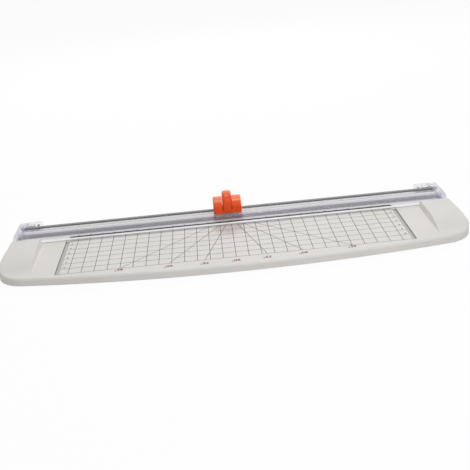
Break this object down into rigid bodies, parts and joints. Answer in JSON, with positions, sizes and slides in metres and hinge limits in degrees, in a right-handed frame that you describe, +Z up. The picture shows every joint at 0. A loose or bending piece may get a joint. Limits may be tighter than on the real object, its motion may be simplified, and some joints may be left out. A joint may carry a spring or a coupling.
{
  "type": "paper cutter",
  "caption": "Desk paper trimmer with a shallow gridded tray, a clear guide rail that lifts on a rear hinge, and a sprung slider that draws a blade along the rail.",
  "frame": {"origin": "centre of the tray's footprint on the table top", "axes": "+X along the cut to the right, +Y to the rear hinge, +Z up"},
  "size_m": [0.3746, 0.131, 0.0315],
  "materials": {
    "tray_plastic": "fine moulded satin",
    "strip_plastic": "satin",
    "foot_rubber": "matte",
    "steel": "bright",
    "clear_plastic": "clear gloss",
    "orange_plastic": "gloss",
    "holder_plastic": "satin",
    "blade_steel": "ground"
  },
  "bodies": {
    "base": {"base_tray": "tray_plastic", "cutting_strip": "strip_plastic", "front_left_foot": "foot_rubber", "front_middle_foot": "foot_rubber", "front_right_foot": "foot_rubber", "rear_left_foot": "foot_rubber", "rear_middle_foot": "foot_rubber", "rear_right_foot": "foot_rubber", "left_hinge_block": "clear_plastic", "right_hinge_block": "clear_plastic", "hinge_block_screws": "steel", "left_hinge_pin": "steel", "right_hinge_pin": "steel"},
    "rail": {"rail": "clear_plastic", "left_rail_cap": "clear_plastic", "right_rail_cap": "clear_plastic"},
    "slider": {"slider_body": "orange_plastic", "slider_shoe": "orange_plastic", "shoe_screws": "steel", "front_return_spring": "steel", "rear_return_spring": "steel"},
    "press": {"press_fin": "orange_plastic", "blade_holder": "holder_plastic", "blade": "blade_steel", "blade_rivet": "steel"}
  },
  "joints": [
    {"name": "rail_lift", "type": "hinge", "parent": "base", "child": "rail", "pos_m": [0, 0.059, 0.0104], "axis": [-1, 0, 0], "range_deg": [0, 90]},
    {"name": "slider_slide", "type": "slide", "parent": "rail", "child": "slider", "axis": [1, 0, 0], "range_m": [-0.1635, 0.1675]},
    {"name": "blade_press", "type": "slide", "parent": "slider", "child": "press", "axis": [0, 0, -1], "range_m": [0, 0.0018], "stiffness_N_per_m": 1200, "springref_m": -0.003, "deforming": ["front_return_spring", "rear_return_spring"]}
  ]
}
